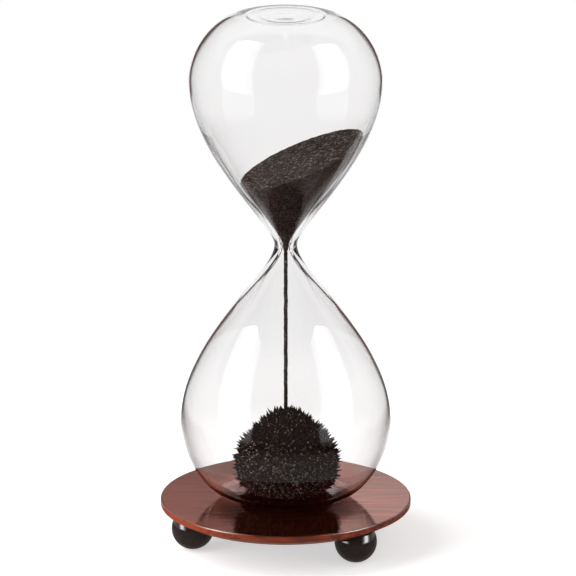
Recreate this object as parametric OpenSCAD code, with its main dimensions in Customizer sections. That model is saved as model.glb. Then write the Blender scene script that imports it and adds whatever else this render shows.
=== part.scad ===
// Magnetic hourglass: a blown-glass timer filled with iron filings. It stands loose on a
// lacquered wooden disc that has three ball feet and a magnet under its centre, so the
// filings that have run through pile up in a spiky mound.
// Millimetres, +Z up. The origin is on the table, under the middle of the disc. The front is -Y.

/* [Stand disc] */
// Diameter of the wooden disc
disc_d = 74; // [70:0.5:90]
// Thickness of the disc
disc_t = 3.5; // [3.2:0.1:6]
// Height of the upright edge of the disc
edge_h = 2; // [1.5:0.1:2.8]
// Width of the bevel that thins the disc under its edge
bevel_w = 3; // [1:0.1:3.4]
// Radius of the rounded arrises of the edge
arris_r = 0.4; // [0.2:0.05:0.7]

/* [Ball feet] */
// Diameter of each ball
ball_d = 12.5; // [11:0.1:16]
// Cut across the top of a ball, where it seats under the disc
seat_cut = 2.5; // [1.5:0.1:3.5]
// Cut across the bottom of a ball, where it stands on the table
stand_cut = 0.1; // [0.05:0.05:0.3]
// Distance from the disc's edge in to the centre of a ball
foot_inset = 8.5; // [7.5:0.1:14]
// Bearing of the left foot, in degrees from the front, positive to the right
foot_bearing = -74; // [-120:1:0]
// Diameter of the dowel that holds a ball
dowel_d = 3; // [2:0.1:4]
// Length of the dowel
dowel_l = 6.5; // [5:0.1:8]
// Depth of the dowel in the disc
dowel_sunk = 2; // [1.5:0.1:2.5]
// Glue gap round the dowel
dowel_gap = 0.05; // [0.02:0.01:0.1]
// Glue gap past the end of the dowel in the ball
dowel_end_gap = 0.3; // [0.1:0.1:0.8]

/* [Magnet] */
// Diameter of the magnet
magnet_d = 25; // [15:0.5:32]
// Thickness of the magnet
magnet_t = 5; // [3:0.1:6]
// Depth of the pocket that locates the magnet under the disc
magnet_sunk = 2; // [1:0.1:2.4]
// Gap between the magnet and the side of its pocket
magnet_gap = 0.1; // [0.05:0.05:0.3]

/* [Glass] */
// Height of the glass
glass_h = 146.6; // [140:0.1:165]
// Height of the waist above the foot
waist_h = 77.7; // [72:0.1:84]
// Diameter of the lower bulb
lower_d = 62; // [54:0.1:68]
// Height of the lower bulb's widest line above the foot
lower_belly_h = 23.5; // [19:0.1:28]
// Diameter of the upper bulb
upper_d = 56.2; // [50:0.1:64]
// Depth of the upper bulb's widest line below the crown
upper_belly_drop = 19.5; // [15:0.1:24]
// Outside diameter of the waist
waist_d = 6.6; // [5.6:0.1:9]
// Bore of the waist
bore_d = 2.2; // [1.8:0.1:3]
// Thickness of the bulbs' walls
wall_t = 0.6; // [0.5:0.05:1]
// Thickness of the foot
foot_t = 2; // [1.8:0.1:3]
// Thickness of the crown
crown_t = 0.8; // [0.6:0.05:1.2]
// Diameter of the ring that the glass stands on
foot_ring_d = 21; // [18:0.1:26]
// Width of the flat on that ring
foot_land = 0.8; // [0.4:0.1:1.5]
// Diameter of the ring at the crown
crown_ring_d = 23; // [18:0.1:28]
// Height of the crown's ring above the curve that runs into it
crown_ring_h = 0.12; // [0.05:0.01:0.3]
// Width of the step up to the crown's ring
crown_step_w = 0.4; // [0.2:0.1:1]
// Depth of the dish inside each ring
dish_h = 0.6; // [0.3:0.1:1]
// Diameter of the flat middle of each dish
dish_flat_d = 10; // [6:0.5:13]
// Diameter of the seal mark in the crown's dish
seal_d = 9; // [6:0.1:12]
// Height of the seal mark
seal_h = 0.1; // [0.05:0.05:0.5]

/* [Glass curves] */
// Flat run of the curve out of the foot ring
foot_run = 17.9; // [12:0.1:19]
// Fall of that curve on the inside, where the foot thins into the wall
foot_dip = 3; // [0:0.1:3.5]
// Upright run below the lower bulb's widest line
lower_hip_run = 3; // [1:0.1:8]
// Upright run above the lower bulb's widest line
lower_shoulder_run = 25; // [20:0.1:30]
// Upright run below the waist
lower_neck_run = 9.6; // [7:0.1:12]
// Upright run above the waist
upper_neck_run = 5.8; // [4:0.1:8]
// Upright run below the upper bulb's widest line
upper_shoulder_run = 21.8; // [18:0.1:26]
// Upright run above the upper bulb's widest line
upper_hip_run = 8.6; // [5:0.1:12]
// Flat run of the curve into the crown ring
crown_run = 9.1; // [6:0.1:12]

/* [Filings] */
// Gap between the filings and the glass
grain_gap = 0.2; // [0.1:0.05:0.4]
// Height of the slanting surface above the waist, at the centre
heap_h = 23.6; // [10:0.1:30]
// Slant of that surface, in degrees, higher on the right
heap_slant = 22; // [0:1:30]
// Length of the tip below the waist
tip_l = 2.2; // [1:0.1:4]
// Mean diameter of the falling stream
stream_d = 1.1; // [0.8:0.1:1.4]
// Depth of the stream's ripple
ripple_h = 0.06; // [0:0.01:0.1]
// Length of one ripple of the stream
ripple_l = 4.5; // [3:0.1:8]
// Diameter of the mound without its spikes
mound_d = 28.6; // [22:0.1:36]
// Height of the mound, up to where the stream lands
mound_h = 25; // [18:0.1:32]
// Diameter of the mound's flat foot
mound_foot_d = 18.6; // [14:0.1:22]
// Height of the mound's widest line
mound_belly_h = 9.5; // [7:0.1:12]
// Outward run of the mound's skirt from its foot
skirt_run = 3.7; // [2:0.1:5]
// Rise of the skirt over that run
skirt_rise = 0.6; // [0.4:0.1:1.5]
// Upright run below the mound's widest line
mound_hip_run = 5.5; // [3:0.1:6.5]
// Upright run above the mound's widest line
mound_shoulder_run = 6.1; // [4:0.1:8]
// Outward run of the mound's cap from the landing
cap_run = 4.5; // [3:0.1:9]
// Fall of the cap over that run
cap_fall = 2; // [0.5:0.1:3]

/* [Spikes] */
// Height of the point that the spikes radiate from
pole_h = 6; // [4:0.1:9]
// Length of a middling spike
spike_l = 1.7; // [0.8:0.1:2.4]
// Distance from one spike's base to the next
spike_pitch = 2.3; // [2:0.1:3.5]
// Height of the skirt that has only stubs of spikes
stub_skirt_h = 1.2; // [0.5:0.1:3]
// Height above which spikes have their full length
full_spike_h = 5; // [3.5:0.1:9]

/* [Hidden] */

$fn = 96;
wood = "#6a331d";
lacquer_black = "#1a1716";
ferrite_grey = "#4b4a4a";
beech = "#c8a878";
clear_glass = [0.85, 0.9, 0.9, 0.35];
filings_black = "#2a2421";

overcut = 1;
ball_r = ball_d / 2;
ball_z = ball_r - stand_cut;
disc_z = ball_d - stand_cut - seat_cut;
disc_r = disc_d / 2;
foot_circle_r = disc_r - foot_inset;
left_bearing = foot_bearing;
right_bearing = foot_bearing + 120;
back_bearing = foot_bearing + 240;
dowel_z = disc_z + dowel_sunk - dowel_l;

foot_z = disc_z + disc_t;
crown_z = foot_z + glass_h;
waist_z = foot_z + waist_h;
floor_z = foot_z + foot_t;
bore_r = bore_d / 2;
curve_steps = 22;
dish_steps = 20;

tip_z = waist_z - tip_l;
landing_z = floor_z + mound_h;
stream_r = stream_d / 2;
landing_margin = 0.3;
landing_r = stream_r + ripple_h + landing_margin;
ripple_steps = 6;
stub_l = 0.05;
shortest_spike_share = 0.5;
spike_seed = 11;

// Points of a cubic Bezier curve, without its last point
function curve(a, b, c, d, steps) =
    [for (i = [0 : steps - 1])
        let (t = i / steps, u = 1 - t)
        u^3 * a + 3 * u^2 * t * b + 3 * u * t^2 * c + t^3 * d];

// Points of a quarter circle, from angle a0 to a0 + 90
function quarter(centre, r, a0, steps = 6) =
    [for (i = [0 : steps]) let (a = a0 + 90 * i / steps) centre + r * [cos(a), sin(a)]];

// The side of the vessel from its foot ring to its crown ring: in from the outside by inset, up from
// the foot by lift and down from the crown by drop. The curve out of the foot falls by dip.
function glass_side(inset, lift, drop, dip, neck_r) =
    let (foot = [foot_ring_d / 2 - inset, foot_z + lift],
         low = [lower_d / 2 - inset, foot_z + lower_belly_h],
         neck = [neck_r, waist_z],
         high = [upper_d / 2 - inset, crown_z - upper_belly_drop],
         crown = [crown_ring_d / 2 - inset, crown_z - drop])
    concat(
        curve(foot, foot + [foot_run, -dip], low - [0, lower_hip_run], low, curve_steps),
        curve(low, low + [0, lower_shoulder_run], neck - [0, lower_neck_run], neck, curve_steps),
        curve(neck, neck + [0, upper_neck_run], high - [0, upper_shoulder_run], high, curve_steps),
        curve(high, high + [0, upper_hip_run], crown + [crown_run, 0], crown, curve_steps),
        [crown]);

// The dish inside a ring, from the centre out: how far it stands in from the ring at each radius
function dish(r) =
    [for (i = [0 : dish_steps])
        let (out = r * i / dish_steps, flat_r = dish_flat_d / 2,
             slope = max(0, (out - flat_r) / (r - flat_r)))
        [out, dish_h * (1 + cos(180 * slope)) / 2]];

// The seal mark's height at a radius
function seal(r) = r < seal_d / 2 ? seal_h * (1 + cos(360 * r / seal_d)) / 2 : 0;

function mirrored(points) = [for (i = [len(points) - 1 : -1 : 0]) points[i]];

// Where a foot stands, from its bearing
function foot_place(bearing) = foot_circle_r * [sin(bearing), -cos(bearing)];

// Each ring of the mound, from its foot up to the landing: [radius, height above the floor].
// The rows are as far apart as those of equal-sided triangles.
mound_foot = [mound_foot_d / 2, 0];
mound_belly = [mound_d / 2, mound_belly_h];
landing = [landing_r, mound_h];
row_pitch = spike_pitch * sin(60);
skirt_rows = ceil(norm(mound_belly - mound_foot) / row_pitch);
dome_rows = ceil(norm(landing - mound_belly) / row_pitch);
mound_rings = concat(
    curve(mound_foot, mound_foot + [skirt_run, skirt_rise],
          mound_belly - [0, mound_hip_run], mound_belly, skirt_rows),
    curve(mound_belly, mound_belly + [0, mound_shoulder_run],
          landing + [cap_run, -cap_fall], landing, dome_rows),
    [landing]);
ring_sizes = [for (ring = mound_rings) max(6, round(2 * PI * ring[0] / spike_pitch))];
ring_starts = [for (k = 0, sum = 0; k < len(ring_sizes); sum = sum + ring_sizes[k], k = k + 1) sum];

mound_points = [
    for (k = [0 : len(mound_rings) - 1], j = [0 : ring_sizes[k] - 1])
        let (a = 360 * (j + k / 2) / ring_sizes[k], ring = mound_rings[k])
        [ring[0] * cos(a), ring[0] * sin(a), ring[1]]];

// The j-th corner of ring k, counted round from its start
function corner(k, j) = ring_starts[k] + j % ring_sizes[k];

// True where the next triangle between rings k and k + 1 takes its new corner from ring k
function from_below(k, at) =
    at[1] == ring_sizes[k + 1] ||
    (at[0] < ring_sizes[k] &&
     (at[0] + 1 + k / 2) / ring_sizes[k] <= (at[1] + 1 + (k + 1) / 2) / ring_sizes[k + 1]);

// The triangles of the mound's skin, between each ring and the one above it
mound_skin = [
    for (k = [0 : len(mound_rings) - 2])
        for (at = [0, 0];
             at[0] + at[1] < ring_sizes[k] + ring_sizes[k + 1];
             at = from_below(k, at) ? at + [1, 0] : at + [0, 1])
            from_below(k, at)
                ? [corner(k, at[0]), corner(k + 1, at[1]), corner(k, at[0] + 1)]
                : [corner(k, at[0]), corner(k + 1, at[1]), corner(k + 1, at[1] + 1)]];

function middle(face) = (mound_points[face[0]] + mound_points[face[1]] + mound_points[face[2]]) / 3;

// A spike's length: a stub low on the skirt, full from a few millimetres up, and uneven
function spike_length(height, luck) =
    let (growth = min(1, max(0, height - stub_skirt_h) / (full_spike_h - stub_skirt_h)))
    stub_l + growth * spike_l * (shortest_spike_share + luck);

spike_luck = rands(0, 1, len(mound_skin), spike_seed);
pole = [0, 0, pole_h];
spike_tips = [
    for (i = [0 : len(mound_skin) - 1])
        let (m = middle(mound_skin[i]), way = (m - pole) / norm(m - pole))
        m + way * spike_length(m[2], spike_luck[i])];

module base_disc() {
    edge_top = foot_z - arris_r;
    edge_bottom = foot_z - edge_h + arris_r;
    color(wood) difference() {
        rotate_extrude() polygon(concat(
            [[0, disc_z], [disc_r - bevel_w, disc_z]],
            quarter([disc_r - arris_r, edge_bottom], arris_r, -90),
            quarter([disc_r - arris_r, edge_top], arris_r, 0),
            [[0, foot_z]]));
        translate([0, 0, disc_z - overcut])
            cylinder(d = magnet_d + 2 * magnet_gap, h = magnet_sunk + overcut);
        for (bearing = [left_bearing, right_bearing, back_bearing])
            translate(concat(foot_place(bearing), disc_z - overcut))
                cylinder(d = dowel_d + 2 * dowel_gap, h = dowel_sunk + overcut);
    }
}

module magnet() {
    color(ferrite_grey)
        translate([0, 0, disc_z + magnet_sunk - magnet_t]) cylinder(d = magnet_d, h = magnet_t);
}

// A ball foot, cut flat on top for its seat and just flat underneath to stand
module ball_foot(bearing) {
    color(lacquer_black) translate(foot_place(bearing)) difference() {
        intersection() {
            translate([0, 0, ball_z]) sphere(r = ball_r);
            translate([-ball_r, -ball_r, 0]) cube([ball_d, ball_d, disc_z]);
        }
        translate([0, 0, dowel_z - dowel_end_gap])
            cylinder(d = dowel_d + 2 * dowel_gap, h = disc_z - dowel_z + dowel_end_gap + overcut);
    }
}

module dowel(bearing) {
    color(beech) translate(concat(foot_place(bearing), dowel_z)) cylinder(d = dowel_d, h = dowel_l);
}

module foot_left() { ball_foot(left_bearing); }
module foot_right() { ball_foot(right_bearing); }
module foot_back() { ball_foot(back_bearing); }
module dowel_left() { dowel(left_bearing); }
module dowel_right() { dowel(right_bearing); }
module dowel_back() { dowel(back_bearing); }

// The blown vessel: a thin-walled, sealed shell of two bulbs with a thick, narrow waist
module glass_vessel() {
    crown_dish_r = crown_ring_d / 2 - crown_step_w;
    foot_dish = [for (p = dish(foot_ring_d / 2 - foot_land)) [p[0], foot_z + p[1]]];
    crown_dish = [for (p = dish(crown_dish_r)) [p[0], crown_z - p[1] + seal(p[0])]];
    inner_dish = [for (p = dish(crown_dish_r - wall_t)) [p[0], crown_z - crown_t - p[1]]];
    color(clear_glass) difference() {
        rotate_extrude() polygon(concat(
            foot_dish, glass_side(0, 0, crown_ring_h, 0, waist_d / 2), mirrored(crown_dish)));
        rotate_extrude() polygon(concat(
            [[0, floor_z]], glass_side(wall_t, foot_t, crown_t, foot_dip, bore_r), mirrored(inner_dish)));
    }
}

// The filings that have still to run: they fill the funnel up to a slanting surface
module upper_filings() {
    neck = [bore_r - grain_gap, waist_z];
    high = [upper_d / 2 - wall_t - grain_gap, crown_z - upper_belly_drop];
    funnel = curve(neck, neck + [0, upper_neck_run], high - [0, upper_shoulder_run], high, curve_steps);
    color(filings_black) intersection() {
        rotate_extrude() polygon(concat([[0, tip_z], [stream_r, tip_z]], funnel, [high, [0, high[1]]]));
        translate([0, 0, waist_z + heap_h]) rotate([0, -heap_slant, 0])
            translate([-upper_d, -upper_d, -glass_h]) cube([2 * upper_d, 2 * upper_d, glass_h]);
    }
}

// The thread of filings that falls from the waist to the top of the mound
module falling_stream() {
    length = tip_z - landing_z;
    steps = ceil(ripple_steps * length / ripple_l);
    ripple = [for (i = [0 : steps])
        let (down = length * i / steps)
        [stream_r + ripple_h * sin(360 * down / ripple_l) * sin(180 * i / steps), tip_z - down]];
    color(filings_black)
        rotate_extrude() polygon(concat([[0, tip_z]], ripple, [[0, landing_z]]));
}

// The fallen filings, drawn up by the magnet into a mound of spikes
module lower_mound() {
    first_tip = len(mound_points);
    top = len(mound_rings) - 1;
    spikes = [
        for (i = [0 : len(mound_skin) - 1], e = [0 : 2])
            [mound_skin[i][e], mound_skin[i][(e + 1) % 3], first_tip + i]];
    foot_face = [for (j = [0 : ring_sizes[0] - 1]) corner(0, j)];
    landing_face = [for (j = [ring_sizes[top] - 1 : -1 : 0]) corner(top, j)];
    color(filings_black) translate([0, 0, floor_z])
        polyhedron(concat(mound_points, spike_tips), concat(spikes, [foot_face, landing_face]));
}

base_disc();
magnet();
foot_left();
foot_right();
foot_back();
dowel_left();
dowel_right();
dowel_back();
glass_vessel();
upper_filings();
falling_stream();
lower_mound();
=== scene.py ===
# %% [markdown]
# # A magnetic hourglass, dressed on its CAD frame
#
# The real thing is a blown glass timer full of iron filings. It stands loose on a lacquered
# wooden disc with three ball feet. A magnet under the disc pulls the fallen filings up into
# a mound of spikes.
#
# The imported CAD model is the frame: it says where everything is and what moves. This lesson
# keeps the turned wooden parts as they are and gives them finishes. It makes again what a
# plain solid can't show: the clear glass, the loose grains and the spikes.

# %% Load the frame
import math
import random

import bpy
from mathutils import Matrix, Quaternion, Vector, noise


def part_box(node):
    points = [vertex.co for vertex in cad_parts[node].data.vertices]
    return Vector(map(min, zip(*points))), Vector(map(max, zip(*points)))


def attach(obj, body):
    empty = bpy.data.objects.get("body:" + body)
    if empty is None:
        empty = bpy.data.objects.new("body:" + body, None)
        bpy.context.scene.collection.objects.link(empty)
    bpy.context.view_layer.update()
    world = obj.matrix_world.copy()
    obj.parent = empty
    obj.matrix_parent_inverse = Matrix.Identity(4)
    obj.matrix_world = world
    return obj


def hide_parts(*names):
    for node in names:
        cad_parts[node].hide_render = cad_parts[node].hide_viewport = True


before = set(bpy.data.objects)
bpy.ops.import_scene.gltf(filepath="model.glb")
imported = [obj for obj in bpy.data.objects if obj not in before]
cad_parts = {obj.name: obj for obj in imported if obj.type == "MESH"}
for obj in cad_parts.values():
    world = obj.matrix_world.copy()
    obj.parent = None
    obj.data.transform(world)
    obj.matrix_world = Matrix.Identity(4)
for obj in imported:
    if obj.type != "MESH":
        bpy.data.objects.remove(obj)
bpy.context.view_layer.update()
MM = 0.001
print("nodes:", sorted(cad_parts))

# %% [markdown]
# ## The camera
#
# The portrait was taken from far away with a long lens, a little above the crown, so the
# ellipses stay flat and upright lines stay upright. A long lens on a distant camera gives
# the same drawing. The distance, the angle and the lens were fitted to the outlines of the
# glass, the disc and the two front feet.

# %% Set the camera
VIEW_ANGLE = math.radians(16.55)
VIEW_DISTANCE = 1.717
VIEW_AIM = Vector((0.66, 0, 77.67)) * MM
LENS_MM = 366.5
SENSOR_MM = 36

lens = bpy.data.cameras.new("portrait_camera")
lens.lens = LENS_MM
lens.sensor_width = SENSOR_MM
camera = bpy.data.objects.new("portrait_camera", lens)
camera.location = VIEW_AIM + VIEW_DISTANCE * Vector((0, -math.cos(VIEW_ANGLE), math.sin(VIEW_ANGLE)))
camera.rotation_euler = (math.pi / 2 - VIEW_ANGLE, 0, 0)
scene = bpy.context.scene
scene.collection.objects.link(camera)
scene.camera = camera
scene.view_settings.view_transform = "Standard"
print("camera at", [round(v, 3) for v in camera.location])

# %% [markdown]
# ## Small tools for building finishes
#
# Every finish here is a tree of shader nodes. Adding a node takes three steps in Blender:
# make it, set its options, then fill or link its sockets. One helper does all three. The
# others cover the nodes that are used most, for sums, mixes, colour ramps and soft fades.
# Some of those have sockets that share a name, which have to be picked by number.

# %% Node helpers
def put(tree, kind, options=None, **sockets):
    """Adds a node. A socket takes a plain value or a link from another node's output."""
    made = tree.nodes.new("ShaderNode" + kind)
    for name, value in (options or {}).items():
        setattr(made, name, value)
    for name, value in sockets.items():
        fill(tree, made.inputs[name.replace("_", " ")], value)
    return made


def fill(tree, socket, value):
    """Links an output to a socket, or sets the socket's own value."""
    if isinstance(value, bpy.types.NodeSocket):
        tree.links.new(value, socket)
    else:
        socket.default_value = value


def maths(tree, operation, first, second=0.0):
    """One step of arithmetic on two numbers."""
    made = tree.nodes.new("ShaderNodeMath")
    made.operation = operation
    fill(tree, made.inputs[0], first)
    fill(tree, made.inputs[1], second)
    return made.outputs[0]


def product(tree, first, *others):
    """All the numbers multiplied."""
    for other in others:
        first = maths(tree, "MULTIPLY", first, other)
    return first


def flip(tree, switch):
    """Turns 1 into 0 and 0 into 1."""
    return maths(tree, "SUBTRACT", 1.0, switch)


def mix_number(tree, factor, low, high):
    """A number that goes from low to high as factor goes from 0 to 1."""
    made = put(tree, "Mix", {"data_type": "FLOAT"})
    fill(tree, made.inputs[0], factor)
    fill(tree, made.inputs[2], low)
    fill(tree, made.inputs[3], high)
    return made.outputs[0]


print("helpers for nodes and numbers ready")

# %% Helpers for ramps and fades
def ramp(tree, factor, *stops):
    """A colour ramp: each stop is a place from 0 to 1 and a linear colour."""
    made = put(tree, "ValToRGB", Fac=factor)
    elements = made.color_ramp.elements
    while len(elements) < len(stops):
        elements.new(1)
    for element, (place, colour) in zip(elements, stops):
        element.position = place
        element.color = (*colour, 1)
    return made.outputs["Color"]


def spread(tree, value, low, high, to_low=0.0, to_high=1.0):
    """Maps the range low to high smoothly onto another one, and holds its ends."""
    made = put(tree, "MapRange", {"interpolation_type": "SMOOTHSTEP"})
    for place, number in enumerate((value, low, high, to_low, to_high)):
        fill(tree, made.inputs[place], number)
    return made.outputs[0]


def fade_out(tree, value, low, high):
    """A switch that is 1 below the range and falls smoothly to 0 across it."""
    return spread(tree, value, low, high, 1.0, 0.0)


def scaled(tree, colour, painted_light_gain):
    """A colour made brighter or darker."""
    return put(tree, "VectorMath", {"operation": "SCALE"}, Vector=colour, Scale=painted_light_gain).outputs["Vector"]


print("helpers for ramps and fades ready")

# %% [markdown]
# ## The studio
#
# Clear glass has no colour of its own: all we see of it is what it bends and mirrors. In a
# product portrait the background is white, so the body of the glass almost vanishes. Where
# its surface or its wall turns the view aside, it has to meet something dark, or the glass
# would have no outline at all.
#
# A real studio does that with white paper and black cards. Here the floor and the world ask
# each ray how it came, and show it the paper, the room or a card. Blender counts a ray's
# bounces: a mirroring counts as glossy, also inside the glass, and each pass through a glass
# surface counts as transmission.

# %% How a ray came
# Marks between whole counts of bounces
SEEN_ONCE, SEEN_TWICE, NECK_PASSES, WALL_PASSES = 0.5, 1.5, 2.5, 3.5


def ray_story(tree):
    """Switches, 1 or 0, that tell how a ray came here."""
    path = tree.nodes.new("ShaderNodeLightPath").outputs
    dull = maths(tree, "GREATER_THAN", path["Diffuse Depth"], SEEN_ONCE)
    mirrored = maths(tree, "GREATER_THAN", path["Glossy Depth"], SEEN_ONCE)
    again = maths(tree, "GREATER_THAN", path["Glossy Depth"], SEEN_TWICE)
    entered = maths(tree, "GREATER_THAN", path["Transmission Depth"], SEEN_ONCE)
    deep = maths(tree, "GREATER_THAN", path["Transmission Depth"], WALL_PASSES)
    one_lump = maths(tree, "LESS_THAN", path["Transmission Depth"], NECK_PASSES)
    return {
        "dull": dull,
        "mirrored": mirrored,
        "again": again,
        "entered": entered,
        "on_skin": product(tree, maths(tree, "SUBTRACT", mirrored, again), flip(tree, entered)),
        "in_wall": product(tree, mirrored, maths(tree, "SUBTRACT", entered, deep)),
        "in_bulb": product(tree, mirrored, deep),
        "in_neck": product(tree, entered, one_lump),
    }


print("ray switches ready")

# %% [markdown]
# ### Soft boxes
#
# Two tall soft boxes stand at the front, left and right, and lean over the glass. Their white
# faces show as long bright windows on the bulbs and as small ones on the ball feet. An area
# lamp gives each its light. Its face is drawn into the room's light instead, so that it can
# be as bright as a real one without lighting the object too much.

# %% The lamps
BOX_DISTANCE = 1.2


def soft_box(name, bearing, rise, roll, middle, half, bottom, top, power):
    """A lamp whose sides are slopes from its axis. Bearing is from the front, positive to the right."""
    turn, tilt = math.radians(bearing), math.radians(rise)
    away = Vector((math.sin(turn) * math.cos(tilt), -math.cos(turn) * math.cos(tilt), math.sin(tilt)))
    pose = away.to_track_quat("Z", "Y") @ Quaternion((0, 0, 1), math.radians(roll))
    right, up = pose @ Vector((1, 0, 0)), pose @ Vector((0, 1, 0))
    lamp = bpy.data.lights.new(name, "AREA")
    lamp.shape = "RECTANGLE"
    lamp.size = 2 * half * BOX_DISTANCE
    lamp.size_y = (top - bottom) * BOX_DISTANCE
    lamp.energy = power
    box = bpy.data.objects.new(name, lamp)
    box.location = VIEW_AIM + BOX_DISTANCE * (away + middle * right + (top + bottom) / 2 * up)
    box.rotation_euler = pose.to_euler()
    box.visible_camera = False
    box.visible_transmission = False
    box.visible_glossy = False
    scene.collection.objects.link(box)
    return {"away": away, "right": right, "up": up, "middle": middle, "half": half, "top": top}


soft_boxes = [
    soft_box(
        "left_soft_box", bearing=-60, rise=25, roll=23,
        middle=-0.14, half=0.38, bottom=-0.4, top=1.2, power=25),
    soft_box(
        "right_soft_box", bearing=63, rise=20, roll=-25,
        middle=0.04, half=0.36, bottom=-0.4, top=1.07, power=5.5),
]

# %% The faces of the soft boxes
BOX_CORE, BOX_FACE, BOX_BELOW = 16.0, 2.6, 1.3
CORE_FADE = 0.1, 0.25
BOX_EDGE = 0.05


def along(tree, way, axis):
    """How far a direction goes along an axis."""
    made = put(tree, "VectorMath", {"operation": "DOT_PRODUCT"})
    fill(tree, made.inputs[0], way)
    fill(tree, made.inputs[1], axis)
    return made.outputs["Value"]


def box_glow(tree, way, box):
    """How bright a soft box's face is in a direction."""
    depth = along(tree, way, box["away"])
    aside = maths(tree, "DIVIDE", along(tree, way, box["right"]), depth)
    above = maths(tree, "DIVIDE", along(tree, way, box["up"]), depth)
    off_middle = maths(tree, "ABSOLUTE", maths(tree, "SUBTRACT", aside, box["middle"]))
    return product(
        tree,
        spread(tree, off_middle, *CORE_FADE, BOX_CORE, BOX_FACE),
        fade_out(tree, off_middle, box["half"] - BOX_EDGE, box["half"] + BOX_EDGE),
        fade_out(tree, above, box["top"] - BOX_EDGE, box["top"] + BOX_EDGE),
        maths(tree, "GREATER_THAN", depth, BOX_EDGE),
    )


print("faces of", len(soft_boxes), "soft boxes ready")

# %% [markdown]
# ### The room
#
# The room is dark at the front, where the camera stands, paler at the sides, and white behind
# and overhead at the back, where the paper sweeps up. Tall black cards stand at the back, a
# little to the left and right of the white paper. The edge of the glass turns the view aside
# just far enough to meet them, which draws its dark outline. How far a view turns is measured
# as a slope: steps aside for each step back.

# %% The room and its cards
ROOM_FRONT, ROOM_SIDE, ROOM_TOP, ROOM_ABOVE = 0.12, 0.8, 0.3, 1.0
FRONT_TO_SIDE, SIDE_TO_TOP = (-0.75, 0.5), (0.5, 0.75)
SWEEP_BACK, SWEEP_UP = (0.3, 0.55), (0.3, 0.5)
BLACK_CARD = 0.1
CARD_FADE, CARD_END = 0.06, (0.36, 0.66)


def room_light(tree, way):
    """How bright the room is in a direction, without its cards."""
    parts = put(tree, "SeparateXYZ", Vector=way).outputs
    room = spread(tree, parts["Y"], *FRONT_TO_SIDE, ROOM_FRONT, ROOM_SIDE)
    room = mix_number(tree, spread(tree, parts["Z"], *SIDE_TO_TOP), room, ROOM_TOP)
    swept_up = product(tree, spread(tree, parts["Y"], *SWEEP_BACK), spread(tree, parts["Z"], *SWEEP_UP))
    return mix_number(tree, swept_up, room, ROOM_ABOVE)


def add_cards(tree, room, turn, card_start, behind, cards_reach):
    """White paper straight behind, then a black card, then the room, as a view turns aside."""
    off_paper = spread(tree, maths(tree, "SUBTRACT", turn, card_start), 0.0, CARD_FADE)
    room = mix_number(tree, product(tree, behind, flip(tree, off_paper)), room, 1.0)
    on_card = product(tree, off_paper, fade_out(tree, turn, *CARD_END), behind, cards_reach)
    return mix_number(tree, on_card, room, BLACK_CARD)


print("room ready")

# %% What a ray meets
BEHIND_GLASS = 1.01
SECOND_MIRROR, ROOM_IN_BULB = 0.15, 0.4
NECK_BEND = 0.45, 0.6
WARM_STOPS = (0.0, (1, 0.35, 0.28)), (0.2, (1, 0.86, 0.82)), (0.8, (1, 1, 1))


def studio_light(tree, way, story, room, box_limit):
    """What a ray meets in a direction: white paper, or for a mirrored ray the room and a soft box."""
    second = product(tree, story["again"], flip(tree, story["in_wall"]))
    room = mix_number(tree, story["in_bulb"], room, ROOM_IN_BULB)
    room = product(tree, room, mix_number(tree, second, 1.0, SECOND_MIRROR))
    glow = maths(tree, "ADD", *[box_glow(tree, way, box) for box in soft_boxes])
    glow = product(tree, maths(tree, "MINIMUM", glow, box_limit), story["on_skin"])
    sideways = maths(tree, "ABSOLUTE", put(tree, "SeparateXYZ", Vector=way).outputs["X"])
    bent = product(tree, spread(tree, sideways, *NECK_BEND), story["in_neck"])
    straight = mix_number(tree, story["entered"], 1.0, BEHIND_GLASS)
    straight = mix_number(tree, bent, straight, BLACK_CARD)
    return mix_number(tree, story["mirrored"], straight, maths(tree, "ADD", room, glow))


def warm_shade(tree, light):
    """White, or a warmer tone where the light is low."""
    return ramp(tree, light, *WARM_STOPS)


print("studio light ready")

# %% The world
AMBIENT = 0.3
LEAST_DEPTH = 0.01
WORLD_BEHIND = 0.0, 0.1
LEVEL, LEVEL_CARD_STARTS = (-0.01, 0.04), (0.11, 0.05)
CARD_TOP = 0.1, 0.22
BOX_FOOT = 0.0, 0.1

world = bpy.data.worlds.new("studio")
world.use_nodes = True
tree = world.node_tree
tree.nodes.clear()
way = put(tree, "TexCoord").outputs["Generated"]
parts = put(tree, "SeparateXYZ", Vector=way).outputs
back = maths(tree, "MAXIMUM", parts["Y"], LEAST_DEPTH)
room = add_cards(
    tree,
    room_light(tree, way),
    turn=maths(tree, "DIVIDE", maths(tree, "ABSOLUTE", parts["X"]), back),
    card_start=spread(tree, parts["Z"], *LEVEL, *LEVEL_CARD_STARTS),
    behind=spread(tree, parts["Y"], *WORLD_BEHIND),
    cards_reach=fade_out(tree, parts["Z"], *CARD_TOP),
)
story = ray_story(tree)
light = studio_light(tree, way, story, room, spread(tree, parts["Z"], *BOX_FOOT, BOX_BELOW, BOX_CORE))
light = mix_number(tree, story["dull"], light, AMBIENT)
background = put(tree, "Background", Color=warm_shade(tree, light), Strength=light)
put(tree, "OutputWorld", Surface=background.outputs[0])
scene.world = world
print("world nodes:", len(tree.nodes))

# %% [markdown]
# ### The floor
#
# The floor is white paper. Near the object it keeps the soft shadow, and farther out it
# glows, so that it runs into the white background.
#
# A mirrored ray sees another floor. Close by, it is dark at the sides and paler behind the
# object, which shades the flanks of the glass funnel. Farther out, it is a part of the room
# and has the same black cards.

# %% Sheets of the set
FLOOR_REACH = 4.0


def new_finish(name):
    """An empty material with its node tree."""
    made = bpy.data.materials.new(name)
    made.use_nodes = True
    made.node_tree.nodes.clear()
    return made, made.node_tree


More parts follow.
